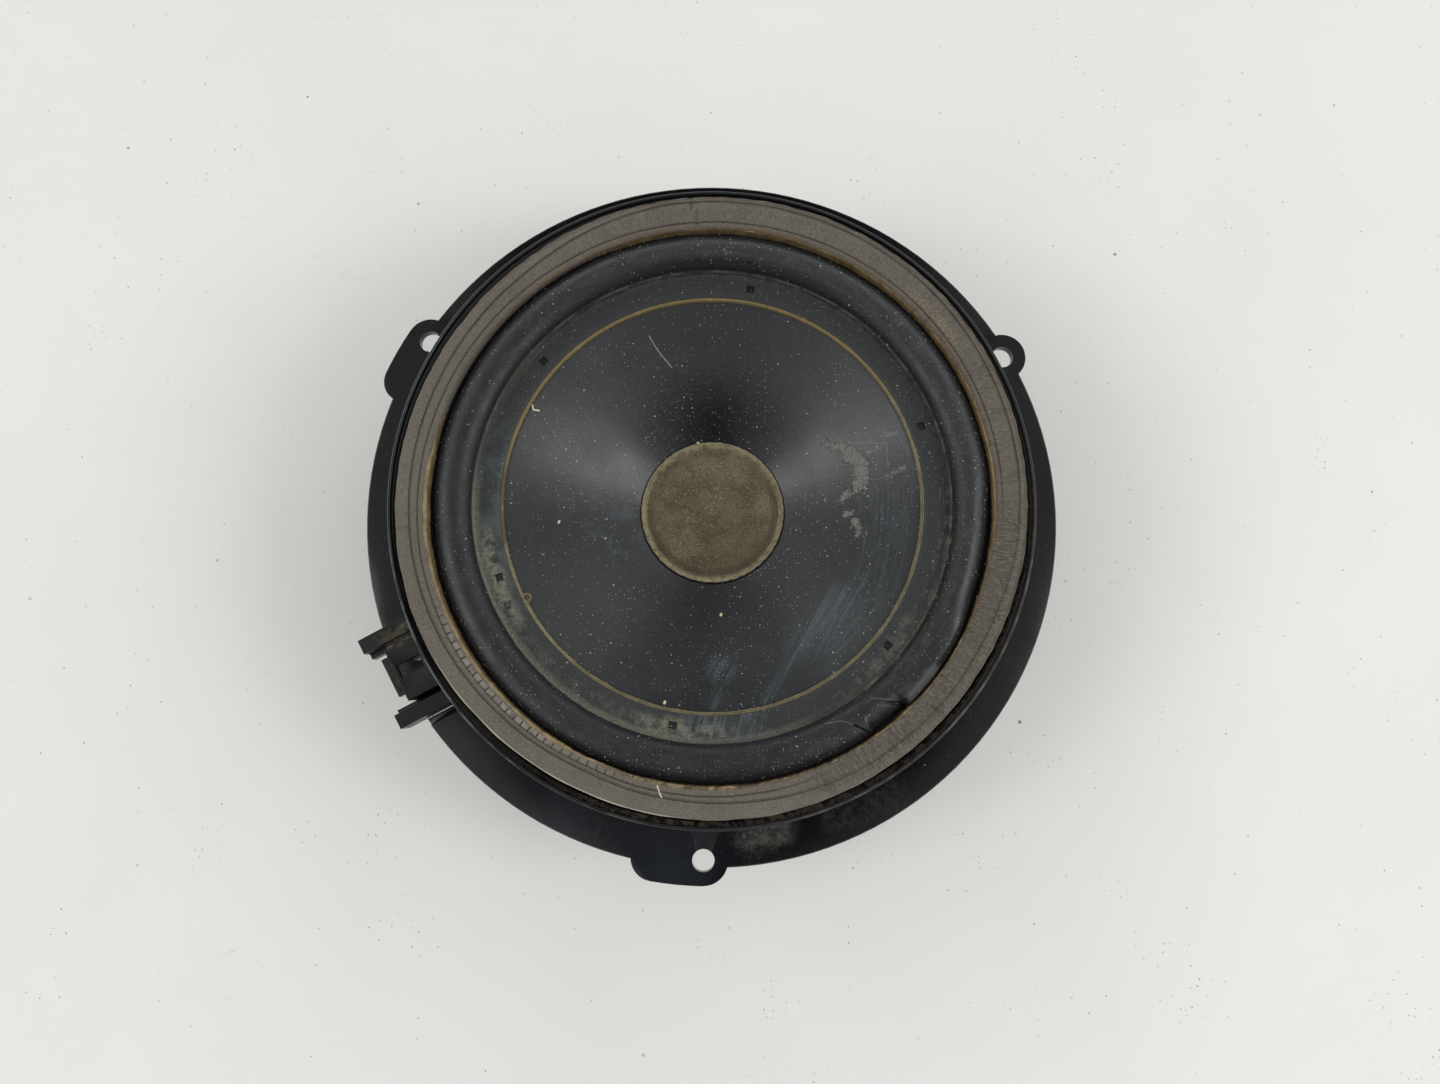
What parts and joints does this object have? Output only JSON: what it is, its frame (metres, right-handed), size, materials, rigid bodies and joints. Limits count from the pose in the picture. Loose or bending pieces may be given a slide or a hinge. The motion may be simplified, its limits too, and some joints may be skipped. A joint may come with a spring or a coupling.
{
  "type": "car door loudspeaker",
  "caption": "Round car door loudspeaker with a plastic basket, foam gasket, rubber surround, coned diaphragm, domed cap, ring magnet and a side connector.",
  "frame": {"origin": "centre of the circle of fixing holes, on the rear face of the mounting flange", "axes": "+Z forward along the speaker's axis, out of the cone; +Y towards the speaker's top edge as it is seen from the front; +X to the right in that view"},
  "size_m": [0.176, 0.1803, 0.0649],
  "materials": {
    "basket_plastic": "moulded glass-filled plastic, satin black, dusty",
    "connector_plastic": "moulded plastic, satin black",
    "gasket_foam": "aged brown-grey closed-cell foam, two pressed grooves",
    "amber_adhesive": "amber contact adhesive, set bead",
    "dark_adhesive": "dark brown set adhesive",
    "surround_rubber": "black rubber, satin, dusty",
    "cone_plastic": "black polypropylene diaphragm, satin",
    "cap_cloth": "coated cloth, olive brown",
    "former_foil": "thin aluminium foil former",
    "copper_wire": "enamelled copper wire",
    "spider_cloth": "phenolic-dipped woven cloth, corrugated",
    "braid_copper": "braided copper tinsel",
    "solder": "tin solder",
    "pin_metal": "tin-plated brass",
    "motor_steel": "zinc-plated steel",
    "ferrite": "sintered ferrite, dark grey"
  },
  "bodies": {
    "chassis": {"basket": "basket_plastic", "front_gasket": "gasket_foam", "gasket_adhesive": "amber_adhesive", "surround": "surround_rubber", "spider": "spider_cloth", "spider_adhesive": "dark_adhesive", "tinsel_lead_positive": "braid_copper", "tinsel_lead_negative": "braid_copper", "contact_pin_positive": "pin_metal", "contact_pin_negative": "pin_metal", "connector_housing": "connector_plastic", "front_plate": "motor_steel", "motor_rivets": "motor_steel", "magnet": "ferrite", "magnet_adhesive": "amber_adhesive", "yoke": "motor_steel"},
    "diaphragm": {"cone_edge_adhesive": "amber_adhesive", "cone": "cone_plastic", "dust_cap": "cap_cloth", "dust_cap_adhesive": "amber_adhesive", "voice_coil_former": "former_foil", "voice_coil_winding": "copper_wire", "neck_adhesive": "dark_adhesive", "lead_solder_joints": "solder"}
  },
  "joints": [
    {"name": "cone_travel", "type": "slide", "parent": "chassis", "child": "diaphragm", "axis": [0, 0, 1], "range_m": [-0.004, 0.004], "stiffness_N_per_m": 1250, "deforming": ["surround", "spider", "tinsel_lead_positive", "tinsel_lead_negative"]}
  ]
}
